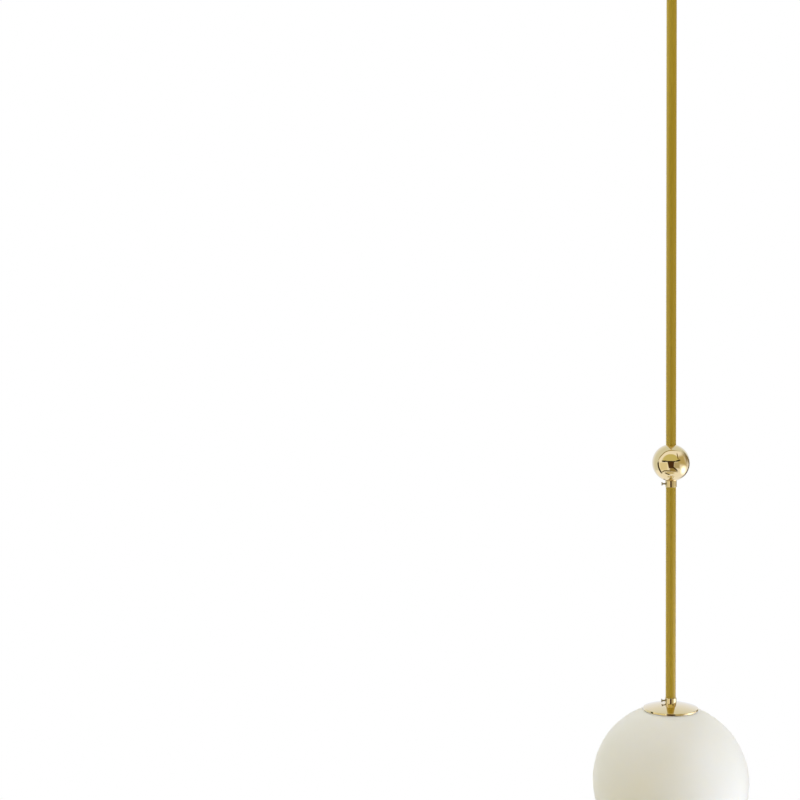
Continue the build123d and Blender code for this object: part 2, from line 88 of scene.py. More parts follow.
def mottle(material, size, shades, gloss, detail=3.0, stretch=None):
    # cloudy change of colour and roughness over patches of one real size in millimetres
    tree = material.node_tree
    shader = tree.nodes["shader"]
    place = tree.nodes["place"].outputs["Object"]
    if stretch:
        drawn = addNode(tree, "ShaderNodeMapping", values={"Scale": stretch}, links={"Vector": place})
        place = drawn.outputs["Vector"]
    cloud = addNode(tree, "ShaderNodeTexNoise", values={"Scale": 1 / (size * mm), "Detail": detail},
                    links={"Vector": place}).outputs["Fac"]
    blend = addNode(tree, "ShaderNodeMix", {"data_type": "RGBA"},
                    {6: linear(shades[0]), 7: linear(shades[1])}, {0: cloud})
    # nearly all of the noise lies between these two values
    rough = addNode(tree, "ShaderNodeMapRange", links={"Value": cloud}, values={
        "From Min": 0.3, "From Max": 0.7, "To Min": gloss[0], "To Max": gloss[1]})
    tree.links.new(blend.outputs[2], shader.inputs["Base Color"])
    tree.links.new(rough.outputs["Result"], shader.inputs["Roughness"])


def grain(material, sizes, depth, strength):
    # fine relief in millimetres, whose grain has its own length along each axis
    tree = material.node_tree
    stretch = addNode(tree, "ShaderNodeMapping", values={"Scale": [1 / (s * mm) for s in sizes]},
                      links={"Vector": tree.nodes["place"].outputs["Object"]})
    noise = addNode(tree, "ShaderNodeTexNoise", values={"Scale": 1.0, "Detail": 2.0},
                    links={"Vector": stretch.outputs["Vector"]})
    bump = addNode(tree, "ShaderNodeBump", values={"Strength": strength, "Distance": depth * mm},
                   links={"Height": noise.outputs["Fac"]})
    tree.links.new(bump.outputs["Normal"], tree.nodes["shader"].inputs["Normal"])


# polished and lacquered brass: a pale gold mirror, with a faint wave left by the buffing wheel
polishedBrass = startFinish("polishedLacqueredBrass", {
    "Metallic": 1.0, "Coat Weight": 0.8, "Coat Roughness": 0.02})
mottle(polishedBrass, size=22, shades=("#EDDAB0", "#E8D2A2"), gloss=(0.022, 0.05))
grain(polishedBrass, sizes=(11, 11, 11), depth=0.12, strength=0.05)

# satin brass tube under clear lacquer: flat olive gold with fine lines drawn along the tube;
# real lines are about 0.1 mm wide, and these are as coarse as they need to be to show
satinBrass = startFinish("satinBrassTube", {
    "Metallic": 1.0, "Specular Tint": (0.45, 0.45, 0.45, 1.0), "Anisotropic": 0.85,
    "Coat Weight": 1.0, "Coat Roughness": 0.2})
mottle(satinBrass, size=1.6, shades=("#EED656", "#D8BE44"), gloss=(0.74, 0.88), detail=4.0,
       stretch=(1, 1, 0.03))
grain(satinBrass, sizes=(0.7, 0.7, 45), depth=0.08, strength=0.2)

# brass as it leaves the lathe: bright rings round the piece
turnedBrass = startFinish("turnedBrass", {"Metallic": 1.0})
mottle(turnedBrass, size=4, shades=("#CBA85C", "#B8934A"), gloss=(0.24, 0.36))
grain(turnedBrass, sizes=(20, 20, 0.3), depth=0.06, strength=0.2)

# nickel-plated steel screw: warm grey, bright
nickelSteel = startFinish("nickelPlatedSteel", {"Metallic": 1.0})
mottle(nickelSteel, size=1.5, shades=("#C9C2B4", "#A79F90"), gloss=(0.16, 0.28))
grain(nickelSteel, sizes=(0.4, 0.4, 0.4), depth=0.04, strength=0.15)

# zinc-plated steel strip: cold grey with the cloudy bloom of the plating bath
zincSteel = startFinish("zincPlatedSteel", {"Metallic": 1.0})
mottle(zincSteel, size=6, shades=("#C3C7CC", "#9FA4AA"), gloss=(0.28, 0.44), detail=5.0)
grain(zincSteel, sizes=(12, 0.6, 0.6), depth=0.05, strength=0.2)

# bright rolled spring strip: smooth grey with fine lines along the rolling
springSteel = startFinish("rolledSpringSteel", {"Metallic": 1.0})
mottle(springSteel, size=5, shades=("#B4B6BA", "#96989D"), gloss=(0.2, 0.32))
grain(springSteel, sizes=(0.5, 0.5, 10), depth=0.04, strength=0.25)

# blown opal glass, satin etched: milky white that light soaks into, no sharp glint;
# the etch is drawn coarser than real, so that it shows
opalGlass = startFinish("etchedOpalGlass", {
    "IOR": 1.5, "Subsurface Weight": 1.0, "Subsurface Radius": (1.0, 0.92, 0.78),
    "Subsurface Scale": 10 * mm})
mottle(opalGlass, size=60, shades=("#F5F6F1", "#F1F2EB"), gloss=(0.42, 0.50))
grain(opalGlass, sizes=(1.2, 1.2, 1.2), depth=0.03, strength=0.10)

# clear silicone sealing ring: soft, greyish, half see-through
clearSilicone = startFinish("clearSilicone", {"IOR": 1.41, "Transmission Weight": 0.4})
mottle(clearSilicone, size=4, shades=("#D9DAD6", "#C9CBC6"), gloss=(0.4, 0.55))

# moulded white polyamide of the terminal block and bush: waxy, with a fine moulded grain,
# drawn as coarse as it needs to be to show
whitePlastic = startFinish("mouldedPolyamide", {
    "IOR": 1.53, "Subsurface Weight": 0.1, "Subsurface Scale": 2 * mm})
mottle(whitePlastic, size=3, shades=("#E6E5E0", "#DEDDD6"), gloss=(0.42, 0.55))
grain(whitePlastic, sizes=(0.5, 0.5, 0.5), depth=0.04, strength=0.2)

# black phenolic of the lampholder: satin, with the fine orange peel of the mould
blackPhenolic = startFinish("mouldedPhenolic", {"IOR": 1.6})
mottle(blackPhenolic, size=4, shades=("#1B1A19", "#242220"), gloss=(0.34, 0.48))
grain(blackPhenolic, sizes=(0.7, 0.7, 0.7), depth=0.05, strength=0.25)

# fired ceramic insert, unglazed: chalky, slightly gritty
firedCeramic = startFinish("firedCeramic", {"IOR": 1.5})
mottle(firedCeramic, size=2, shades=("#E9E6DD", "#DAD6CB"), gloss=(0.6, 0.75))
grain(firedCeramic, sizes=(0.4, 0.4, 0.4), depth=0.06, strength=0.3)

# white polycarbonate of the bulb's neck: even, slightly glossy
bulbPlastic = startFinish("mouldedPolycarbonate", {"IOR": 1.58})
mottle(bulbPlastic, size=5, shades=("#EAE9E6", "#E2E1DD"), gloss=(0.35, 0.45))
grain(bulbPlastic, sizes=(0.6, 0.6, 0.6), depth=0.04, strength=0.15)

# satin diffuser of the bulb, unlit: milky, light soaks in a little way
bulbOpal = startFinish("satinDiffuser", {
    "IOR": 1.5, "Subsurface Weight": 0.4, "Subsurface Radius": (1.0, 0.95, 0.85),
    "Subsurface Scale": 4 * mm})
mottle(bulbOpal, size=20, shades=("#F0EFEA", "#EAE8E1"), gloss=(0.4, 0.5))
grain(bulbOpal, sizes=(0.8, 0.8, 0.8), depth=0.03, strength=0.1)

# nickel-plated rolled screw cap of the bulb: fine lines round it
capMetal = startFinish("rolledNickelCap", {"Metallic": 1.0})
mottle(capMetal, size=4, shades=("#C8C7C4", "#ABAAA6"), gloss=(0.24, 0.36))
grain(capMetal, sizes=(10, 10, 0.4), depth=0.04, strength=0.2)

# dull solder of the bulb's end contact
solder = startFinish("dullSolder", {"Metallic": 1.0})
mottle(solder, size=1, shades=("#A9A8A4", "#8B8A86"), gloss=(0.4, 0.6))

# brown and blue vinyl insulation of the wires: smooth, slightly waxy
brownVinyl = startFinish("brownVinyl", {"IOR": 1.53})
mottle(brownVinyl, size=4, shades=("#4B2E1C", "#412615"), gloss=(0.38, 0.5))
blueVinyl = startFinish("blueVinyl", {"IOR": 1.53})
mottle(blueVinyl, size=4, shades=("#2B4E93", "#234381"), gloss=(0.38, 0.5))

finishes = {
    "polished_brass": polishedBrass, "satin_brass": satinBrass, "plain_brass": turnedBrass,
    "nickel_steel": nickelSteel, "zinc_steel": zincSteel, "spring_steel": springSteel,
    "opal_glass": opalGlass, "clear_silicone": clearSilicone, "white_plastic": whitePlastic,
    "black_plastic": blackPhenolic, "white_ceramic": firedCeramic, "bulb_plastic": bulbPlastic,
    "bulb_opal": bulbOpal, "bulb_cap_metal": capMetal, "bulb_contact_metal": solder,
    "brown_insulation": brownVinyl, "blue_insulation": blueVinyl,
}
slotOf = {part["node"]: part["material_slot"] for part in frame["record"]["subparts"]}
bodies = frame["record"]["behaviour"]["bodies"]
bodyOf = {node: body for body, members in bodies.items() for node in members}
for node, piece in cadNodes.items():
    piece.data.materials.clear()
    piece.data.materials.append(finishes[slotOf[node]])
print("finishes:", len(finishes), "materials on", len(cadNodes), "nodes")


def span(node):
    # a node's bottom and top in millimetres
    low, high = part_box(node)
    return low.z / mm, high.z / mm


def arcPoints(radius, level, start, end, steps):
    # points of a circle about (0, level), by their angle from straight up
    angles = [math.radians(start + (end - start) * i / steps) for i in range(steps + 1)]
    return [(radius * math.sin(t), level + radius * math.cos(t)) for t in angles]


def polarAngle(radius, reach):
    # angle from straight up at which a circle comes out to that reach
    return math.degrees(math.asin(reach / radius))


def cornersFrom(rows, **levels):
    # section corners from rows of (radius, level's name, height above that level, rounding)
    return [(r, levels[level] + rise, rounding) for r, level, rise, rounding in rows]


def rounded(corners, steps=6):
    # a closed section from (radius, level, rounding) corners, with a holding point beside each flat
    mostShare, holdShare = 0.45, 0.04  # of a flat, for a rounding and for its holding point
    section = []
    count = len(corners)
    for i, (r, z, rounding) in enumerate(corners):
        here = Vector((r, z))
        back = Vector(corners[i - 1][:2]) - here
        on = Vector(corners[(i + 1) % count][:2]) - here
        turn = math.pi - back.angle(on)
        if rounding <= 0 or turn < 0.01:  # nothing to round
            section.append((r, z))
            continue
        reach = min(rounding * math.tan(turn / 2), back.length * mostShare, on.length * mostShare)
        size = reach / math.tan(turn / 2)
        middle = here + (back.normalized() + on.normalized()).normalized() * (size / math.cos(turn / 2))
        first = here + back.normalized() * reach - middle
        side = 1 if back.y * on.x > back.x * on.y else -1
        hold = min(reach / 2, back.length * holdShare, on.length * holdShare)
        section.append(tuple(here + back.normalized() * (reach + hold)))
        for k in range(steps + 1):
            spin = Matrix.Rotation(side * turn * k / steps, 2)
            section.append(tuple(middle + spin @ first))
        section.append(tuple(here + on.normalized() * (reach + hold)))
    return section


def meshFrom(name, shape):
    # the mesh of a finished bmesh
    mesh = bpy.data.meshes.new(name)
    shape.to_mesh(mesh)
    shape.free()
    return mesh


def smoothed(mesh, angle=35):
    # smooth faces that stay sharp past an angle
    mesh.shade_smooth()
    mesh.set_sharp_from_angle(angle=math.radians(angle))
    return mesh


def turnedMesh(name, section, sides):
    # turns a closed section of (radius, level) points in millimetres round the stem's axis
    shape = bmesh.new()
    rings = []
    for r, z in section:
        if r < 1e-6:  # on the axis
            rings.append([shape.verts.new((0, 0, z * mm))])
            continue
        angles = [2 * math.pi * k / sides for k in range(sides)]
        rings.append([shape.verts.new((r * mm * math.cos(t), r * mm * math.sin(t), z * mm))
                      for t in angles])
    for lower, upper in zip(rings, rings[1:] + rings[:1]):
        if len(lower) == 1 and len(upper) == 1:
            continue
        for k in range(sides):
            corner = [lower[k % len(lower)], lower[(k + 1) % len(lower)],
                      upper[(k + 1) % len(upper)], upper[k % len(upper)]]
            shape.faces.new(list(dict.fromkeys(corner)))
    bmesh.ops.recalc_face_normals(shape, faces=shape.faces)
    return smoothed(meshFrom(name, shape))


def blockShape(middle, size):
    # a block by its middle and size in millimetres
    shape = bmesh.new()
    bmesh.ops.create_cube(shape, size=1.0, matrix=Matrix.LocRotScale(
        Vector(middle) * mm, None, Vector(size) * mm))
    return shape


def putInScene(name, data):
    thing = bpy.data.objects.new(name, data)
    scene.collection.objects.link(thing)
    return thing


def plainMesh(thing):
    # what an object's modifiers make of it, as a mesh of its own
    return bpy.data.meshes.new_from_object(thing.evaluated_get(bpy.context.evaluated_depsgraph_get()))


def show(name, mesh, *replaced, body=None, slot=None):
    # a finished piece: it takes the body, slot and place of the nodes that it stands for
    piece = putInScene(name, mesh)
    slot = slot or slotOf[replaced[0]]
    mesh.materials.clear()
    mesh.materials.append(finishes[slot])
    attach(piece, body or bodyOf[replaced[0]])
    if replaced:
        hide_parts(*replaced)


def evaluated(name, mesh, tree, inputs):
    # runs a Geometry Nodes tree on a mesh, with its inputs set by identifier, and keeps the plain mesh
    holder = putInScene(name, mesh)
    nodes = holder.modifiers.new(name, "NODES")
    nodes.node_group = tree
    for item in tree.interface.items_tree:
        if item.in_out == "INPUT" and item.name in inputs:
            nodes[item.identifier] = inputs[item.name]
    result = plainMesh(holder)
    holder.modifiers.clear()
    bpy.data.objects.remove(holder)
    return result


def startTree(name, sizes):
    # a Geometry Nodes tree with named inputs for its sizes
    tree = bpy.data.node_groups.new(name, "GeometryNodeTree")
    tree.interface.new_socket("Geometry", in_out="INPUT", socket_type="NodeSocketGeometry")
    tree.interface.new_socket("Geometry", in_out="OUTPUT", socket_type="NodeSocketGeometry")
    for label, kind in sizes.items():
        tree.interface.new_socket(label, in_out="INPUT", socket_type="NodeSocket" + kind)
    return tree, addNode(tree, "NodeGroupInput").outputs


def endTree(tree, geometry, given):
    # every tree ends in real geometry with its material
    real = addNode(tree, "GeometryNodeRealizeInstances", links={"Geometry": geometry})
    coat = addNode(tree, "GeometryNodeSetMaterial", links={
        "Geometry": real.outputs["Geometry"], "Material": given["Finish"]})
    addNode(tree, "NodeGroupOutput", links={"Geometry": coat.outputs["Geometry"]})


# a thread: one six-sided ridge wound round a core, added to the mesh that it is given,
# and both laid in their place
threadTree, given = startTree("woundThread", {
    "Radius": "Float", "Pitch": "Float", "Turns": "Float", "Ridge": "Float", "Start": "Float",
    "Place": "Vector", "Turn": "Vector", "Finish": "Material"})
height = addNode(threadTree, "ShaderNodeMath", {"operation": "MULTIPLY"},
                 links={0: given["Pitch"], 1: given["Turns"]})
helix = addNode(threadTree, "GeometryNodeCurveSpiral", values={"Resolution": 28}, links={
    "Rotations": given["Turns"], "Start Radius": given["Radius"], "End Radius": given["Radius"],
    "Height": height.outputs["Value"]})
lift = addNode(threadTree, "ShaderNodeCombineXYZ", links={"Z": given["Start"]})
raised = addNode(threadTree, "GeometryNodeTransform", links={
    "Geometry": helix.outputs["Curve"], "Translation": lift.outputs["Vector"]})
ridge = addNode(threadTree, "GeometryNodeCurvePrimitiveCircle", values={"Resolution": 6},
                links={"Radius": given["Ridge"]})
wound = addNode(threadTree, "GeometryNodeCurveToMesh", values={"Fill Caps": True}, links={
    "Curve": raised.outputs["Geometry"], "Profile Curve": ridge.outputs["Curve"]})
both = addNode(threadTree, "GeometryNodeJoinGeometry")
threadTree.links.new(wound.outputs["Mesh"], both.inputs["Geometry"])
threadTree.links.new(given["Geometry"], both.inputs["Geometry"])
laid = addNode(threadTree, "GeometryNodeTransform", links={
    "Geometry": both.outputs["Geometry"], "Translation": given["Place"], "Rotation": given["Turn"]})
endTree(threadTree, laid.outputs["Geometry"], given)

# a ring: the mesh that it is given, set out evenly round the stem and turned to face out
ringTree, given = startTree("setOutInRing", {
    "Count": "Int", "Radius": "Float", "Level": "Float", "First": "Float", "Finish": "Material"})
circle = addNode(ringTree, "GeometryNodeMeshCircle",
                 links={"Vertices": given["Count"], "Radius": given["Radius"]})
index = addNode(ringTree, "GeometryNodeInputIndex")
step = addNode(ringTree, "ShaderNodeMath", {"operation": "DIVIDE"}, {0: 2 * math.pi}, {1: given["Count"]})
angle = addNode(ringTree, "ShaderNodeMath", {"operation": "MULTIPLY"},
                links={0: index.outputs["Index"], 1: step.outputs["Value"]})
facing = addNode(ringTree, "ShaderNodeCombineXYZ", links={"Z": angle.outputs["Value"]})
placed = addNode(ringTree, "GeometryNodeInstanceOnPoints", links={
    "Points": circle.outputs["Mesh"], "Instance": given["Geometry"], "Rotation": facing.outputs["Vector"]})
rise = addNode(ringTree, "ShaderNodeCombineXYZ", links={"Z": given["Level"]})
swing = addNode(ringTree, "ShaderNodeCombineXYZ", links={"Z": given["First"]})
laid = addNode(ringTree, "GeometryNodeTransform", links={
    "Geometry": placed.outputs["Instances"], "Translation": rise.outputs["Vector"],
    "Rotation": swing.outputs["Vector"]})
endTree(ringTree, laid.outputs["Geometry"], given)
print("node trees ready")

# all sizes of the pieces are in millimetres

# the two rods, drawn tube with broken edges
rodSet = {"radius": 6.5, "bore": 4.5, "edge": 0.4, "boreEdge": 0.2, "sides": 96}
for node, name in (("upper_rod", "upperRod"), ("lower_rod", "lowerRod")):
    bottom, top = span(node)
    section = rounded([
        (rodSet["bore"], bottom, rodSet["boreEdge"]), (rodSet["radius"], bottom, rodSet["edge"]),
        (rodSet["radius"], top, rodSet["edge"]), (rodSet["bore"], top, rodSet["boreEdge"])])
    show(name, turnedMesh(name, section, rodSet["sides"]), node)

# the hollow ball, spun and polished; the upper rod stands on its inside
ballSet = {"radius": 24.0, "wall": 2.0, "rodHole": 6.6, "nippleHole": 5.1, "steps": 110, "insideSteps": 40,
           "sides": 192}
insideBall = ballSet["radius"] - ballSet["wall"]
ballLevel = span("upper_rod")[0] + math.sqrt(insideBall ** 2 - rodSet["radius"] ** 2)
outer = arcPoints(ballSet["radius"], ballLevel, polarAngle(ballSet["radius"], ballSet["rodHole"]),
                  180 - polarAngle(ballSet["radius"], ballSet["nippleHole"]), ballSet["steps"])
inner = arcPoints(insideBall, ballLevel, 180 - polarAngle(insideBall, ballSet["nippleHole"]),
                  polarAngle(insideBall, ballSet["rodHole"]), ballSet["insideSteps"])
show("polishedBall", turnedMesh("polishedBall", outer + inner, ballSet["sides"]), "ball")

# collars: one hollowed to the ball, one to the cap's dome
collarSet = {"radius": 7.5, "bore": 5.0, "height": 7.0, "seatBetween": (6.9, 6.2, 5.6), "edge": 0.5,
             "boreEdge": 0.2, "seatEdge": 0.25, "sides": 128}
seatRadii = (collarSet["radius"], *collarSet["seatBetween"], collarSet["bore"])
collarBottom = ballLevel - ballSet["radius"] - collarSet["height"]
seat = [(r, ballLevel - math.sqrt(ballSet["radius"] ** 2 - r ** 2)) for r in seatRadii]
section = rounded([
    (collarSet["bore"], collarBottom, collarSet["boreEdge"]),
    (collarSet["radius"], collarBottom, collarSet["edge"]),
    (*seat[0], collarSet["seatEdge"]), *[(*p, 0) for p in seat[1:]]])
show("ballCollar", turnedMesh("ballCollar", section, collarSet["sides"]), "ball_collar")

# the cap: a dome concentric with the globe, turned down at its rim
capSet = {"dome": 102.8, "wall": 1.6, "seat": 100.3, "radius": 35.0, "hole": 5.1, "rim": 1.6, "edge": 0.6,
          "edgeRoom": 0.96, "footEdge": 0.25, "insideEdge": 0.2, "insideRoom": 0.5, "steps": 40,
          "insideSteps": 24, "sides": 192}
collarTop = span("lower_rod")[0]
globeLevel = collarTop - collarSet["height"] - capSet["dome"]


def onSphere(radius, r):
    # the point of a sphere about the globe's middle that stands that far from the stem's axis
    return (r, globeLevel + math.sqrt(radius ** 2 - r ** 2))


insideDome = capSet["dome"] - capSet["wall"]
insideRim = capSet["radius"] - capSet["rim"]
dome = arcPoints(capSet["dome"], globeLevel, polarAngle(capSet["dome"], capSet["hole"]),
                 polarAngle(capSet["dome"], capSet["radius"] - capSet["edgeRoom"]), capSet["steps"])
rim = rounded([
    (*dome[-1], 0), (*onSphere(capSet["dome"], capSet["radius"]), capSet["edge"]),
    (*onSphere(capSet["seat"], capSet["radius"]), capSet["footEdge"]),
    (*onSphere(capSet["seat"], insideRim), capSet["insideEdge"]),
    (*onSphere(insideDome, insideRim), 0)], steps=8)
under = arcPoints(insideDome, globeLevel, polarAngle(insideDome, insideRim - capSet["insideRoom"]),
                  polarAngle(insideDome, capSet["hole"]), capSet["insideSteps"])
show("globeCap", turnedMesh("globeCap", dome[:-1] + rim + under, capSet["sides"]), "globe_cap")

seat = [onSphere(capSet["dome"], r) for r in reversed(seatRadii)]
section = rounded([
    (collarSet["radius"], collarTop, collarSet["edge"]),
    (collarSet["bore"], collarTop, collarSet["boreEdge"]), *[(*p, 0) for p in seat]])
show("capCollar", turnedMesh("capCollar", section, collarSet["sides"]), "cap_collar")

# the opal globe, blown wall with a ground and rounded opening
globeSet = {"radius": 100.0, "wall": 3.2, "opening": 28.0, "edge": 1.0, "edgeRoom": 1.4, "steps": 150,
            "insideSteps": 80, "sides": 240}
insideGlass = globeSet["radius"] - globeSet["wall"]
lipEnd = globeSet["opening"] + globeSet["edgeRoom"]
outer = arcPoints(globeSet["radius"], globeLevel, polarAngle(globeSet["radius"], lipEnd), 180,
                  globeSet["steps"])
inner = arcPoints(insideGlass, globeLevel, 180, polarAngle(insideGlass, lipEnd), globeSet["insideSteps"])
lip = rounded([
    (*inner[-1], 0), (*onSphere(insideGlass, globeSet["opening"]), globeSet["edge"]),
    (*onSphere(globeSet["radius"], globeSet["opening"]), globeSet["edge"]), (*outer[0], 0)], steps=8)
show("opalGlobe", turnedMesh("opalGlobe", outer + inner[:-1] + lip[:-1], globeSet["sides"]), "glass_globe")

# ceiling cup and the ring that locks it on the rod
cupSet = {"radius": 55.0, "wall": 1.2, "shoulder": 12.0, "hole": 6.7, "holeEdge": 0.3,
          "rimEdges": (0.5, 0.3), "sides": 192}
bottom, top = span("canopy")
insideCup = cupSet["radius"] - cupSet["wall"]
section = rounded([
    (cupSet["hole"], bottom, cupSet["holeEdge"]), (cupSet["radius"], bottom, cupSet["shoulder"]),
    (cupSet["radius"], top, cupSet["rimEdges"][0]), (insideCup, top, cupSet["rimEdges"][1]),
    (insideCup, bottom + cupSet["wall"], cupSet["shoulder"] - cupSet["wall"]),
    (cupSet["hole"], bottom + cupSet["wall"], cupSet["holeEdge"])], steps=20)
show("ceilingCup", turnedMesh("ceilingCup", section, cupSet["sides"]), "canopy")

ringSet = {"radius": 10.0, "bore": 6.6, "edge": 1.2, "boreEdge": 0.3, "seatEdge": 0.2, "sides": 128}
bottom, top = span("canopy_collar")
section = rounded([
    (ringSet["bore"], bottom, ringSet["boreEdge"]), (ringSet["radius"], bottom, ringSet["edge"]),
    (ringSet["radius"], top, ringSet["seatEdge"]), (ringSet["bore"], top, ringSet["seatEdge"])], steps=8)
show("cupRing", turnedMesh("cupRing", section, ringSet["sides"]), "canopy_collar")
print("turned brass and glass ready")

# lock screws: threaded shank and slotted cheese head, lying along -X
screwSet = {"shank": 1.2, "ridge": 0.16, "sunk": 0.144, "pitch": 0.45, "threadStart": 0.3, "plain": 0.7,
            "head": 2.2, "headHeight": 1.5, "slot": 0.7, "slotDepth": 0.6, "tipEdge": 0.25,
            "neckEdge": 0.05, "underEdge": 0.1, "headEdge": 0.3, "sides": 48, "merge": 0.001}


def slottedScrew(name, length):
    # a turned screw along +Z from its tip, with a saw cut across its head
    core = screwSet["shank"] - screwSet["sunk"]
    top = length + screwSet["headHeight"]
    section = rounded([
        (0, 0, 0), (core, 0, screwSet["tipEdge"]), (core, length, screwSet["neckEdge"]),
        (screwSet["head"], length, screwSet["underEdge"]), (screwSet["head"], top, screwSet["headEdge"]),
        (0, top, 0)], steps=5)
    screw = putInScene(name, turnedMesh(name, section, screwSet["sides"]))
    # the saw reaches past the head, and its upper half stands clear
    sawSize = (screwSet["slot"], screwSet["head"] * 3, screwSet["slotDepth"] * 2)
    saw = putInScene(name + "Saw", meshFrom(name + "Saw", blockShape((0, 0, top), sawSize)))
    cut = screw.modifiers.new("saw", "BOOLEAN")
    cut.operation = "DIFFERENCE"
    cut.solver = "EXACT"
    cut.object = saw
    mesh = plainMesh(screw)
    for part in (screw, saw):
        bpy.data.objects.remove(part)
    # the cut can leave doubled points where it crosses the middle of the head
    shape = bmesh.new()
    shape.from_mesh(mesh)
    bmesh.ops.remove_doubles(shape, verts=shape.verts, dist=screwSet["merge"] * mm)
    shape.to_mesh(mesh)
    shape.free()
    return smoothed(mesh)


for node, name in (("canopy_lock_screw", "cupLockScrew"), ("ball_lock_screw", "ballLockScrew"),
                   ("cap_lock_screw", "capLockScrew")):
    low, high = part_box(node)
    length = (high.x - low.x) / mm - screwSet["headHeight"]
    mesh = evaluated(name, slottedScrew(name, length), threadTree, {
        "Radius": (screwSet["shank"] - screwSet["ridge"]) * mm, "Pitch": screwSet["pitch"] * mm,
        "Turns": (length - screwSet["plain"]) / screwSet["pitch"], "Ridge": screwSet["ridge"] * mm,
        "Start": screwSet["threadStart"] * mm, "Place": (high.x, 0.0, (low.z + high.z) / 2),
        "Turn": (0.0, -math.pi / 2, 0.0), "Finish": nickelSteel})
    show(name, smoothed(mesh), node)
print("lock screws ready")

# rivets of the spring gallery, domed on both sides;
# the rows here and below are (radius, level's name, height above that level, rounding)
rivetSet = {
    "lowerHalf": ((0, "bottom", 0, 0), (1.155, "bottom", 0, 0.5), (2.1, "bottom", 0.42, 0.1),
                  (2.1, "bottom", 0.5, 0.02), (1.2, "bottom", 0.5, 0.02)),
    "count": 3, "circle": 13.0, "first": math.pi / 2, "sides": 28}
bottom, top = span("gallery_rivets")
lowerHalf = cornersFrom(rivetSet["lowerHalf"], bottom=(bottom - top) / 2)
section = rounded(lowerHalf + [(r, -z, rounding) for r, z, rounding in reversed(lowerHalf)], steps=4)
mesh = evaluated("galleryRivets", turnedMesh("galleryRivets", section, rivetSet["sides"]), ringTree, {
    "Count": rivetSet["count"], "Radius": rivetSet["circle"] * mm, "Level": (bottom + top) / 2 * mm,
    "First": rivetSet["first"], "Finish": zincSteel})
show("galleryRivets", smoothed(mesh), "gallery_rivets")

# the lampholder: neck and cap, then the body with grip ribs round its skirt
holderSet = {
    "cap": ((5.0, "top", 0, 0.2), (8.0, "top", 0, 0.8), (8.0, "top", -5, 1.5), (12.5, "top", -10.5, 1.2),
            (14.0, "top", -12.5, 1.0), (14.0, "joint", 0, 0.3), (12.0, "joint", 0, 0.1),
            (12.0, "joint", 7, 0.3), (5.0, "top", -10, 0.2)),
    "body": ((10.7, "joint", 6, 0.1), (11.9, "joint", 6, 0.2), (11.9, "joint", 0, 0.05),
             (14.0, "joint", 0, 0.3), (14.0, "joint", -3, 0.3), (13.55, "joint", -3.6, 0.2),
             (13.55, "bottom", 4.6, 0.2), (14.0, "bottom", 4, 0.3), (14.0, "bottom", 0, 1.0),
             (9.4, "bottom", 0, 0.5), (9.4, "joint", -8, 0.1), (10.7, "joint", -8, 0.1)),
    "sides": 128, "skirt": 13.55, "ribs": 40, "ribWidth": 0.9, "ribRise": 0.45, "ribEdge": 0.25,
    "ribSunk": 0.05, "ribEnds": (4.4, 3.4)}
joint, top = span("holder_cap")
section = rounded(cornersFrom(holderSet["cap"], top=top, joint=joint))
show("holderCap", turnedMesh("holderCap", section, holderSet["sides"]), "holder_cap")

bottom = span("holder_body")[0]
section = rounded(cornersFrom(holderSet["body"], joint=joint, bottom=bottom), steps=5)
show("holderBody", turnedMesh("holderBody", section, holderSet["sides"]), "holder_body")

ribBottom = bottom + holderSet["ribEnds"][0]
ribTop = joint - holderSet["ribEnds"][1]
rib = blockShape((-holderSet["ribSunk"], 0, 0),
                 (holderSet["ribRise"] * 2, holderSet["ribWidth"], ribTop - ribBottom))
upright = [e for e in rib.edges if abs(e.verts[0].co.z - e.verts[1].co.z) > mm]
bmesh.ops.bevel(rib, geom=upright, offset=holderSet["ribEdge"] * mm, segments=3, affect="EDGES",
                profile=0.5)
ribs = evaluated("holderRibs", meshFrom("holderRib", rib), ringTree, {
    "Count": holderSet["ribs"], "Radius": holderSet["skirt"] * mm, "Level": (ribBottom + ribTop) / 2 * mm,
    "First": 0.0, "Finish": blackPhenolic})
show("holderRibs", smoothed(ribs), body="globe_head", slot="black_plastic")
print("gallery and lampholder ready")

# the bulb: satin ball, smooth neck, rolled screw cap and solder tip
bulbSet = {
    "radius": 22.5, "neckRadius": 15.5, "wall": 1.0, "steps": 80, "insideSteps": 50, "sides": 160,
    "neck": ((0, "top", 0, 0), (7.45, "top", 0, 0.3), (7.75, "top", -2, 0.5), (9.45, "top", -5, 2.0),
             (14.7, "bottom", 1.5, 1.0), (15.5, "bottom", 0, 0.3), (0, "bottom", 0, 0)),
    "cap": ((0, "bottom", 0, 0), (6.85, "bottom", 0, 0.3), (6.85, "bottom", 1.6, 0.5),
            (6.13, "bottom", 2.2, 0.3), (6.13, "top", -1.0, 0.4), (5.23, "top", 0, 0.3), (0, "top", 0, 0)),
    "capSides": 72, "core": 6.13, "rope": 0.72, "pitch": 2.82, "threadStart": 3.2, "plain": 5.2}
bottom, neckBottom = span("bulb_diffuser")
bulbLevel = bottom + bulbSet["radius"]
insideBulb = bulbSet["radius"] - bulbSet["wall"]
outer = arcPoints(bulbSet["radius"], bulbLevel, polarAngle(bulbSet["radius"], bulbSet["neckRadius"]), 180,
                  bulbSet["steps"])
neckAngle = math.degrees(math.acos((neckBottom - bulbLevel) / insideBulb))
inner = arcPoints(insideBulb, bulbLevel, 180, neckAngle, bulbSet["insideSteps"])
show("bulbDiffuser", turnedMesh("bulbDiffuser", outer + inner, bulbSet["sides"]), "bulb_diffuser")

section = rounded(cornersFrom(bulbSet["neck"], bottom=neckBottom, top=span("bulb_base")[1]))
show("bulbNeck", turnedMesh("bulbNeck", section, bulbSet["sides"]), "bulb_base")

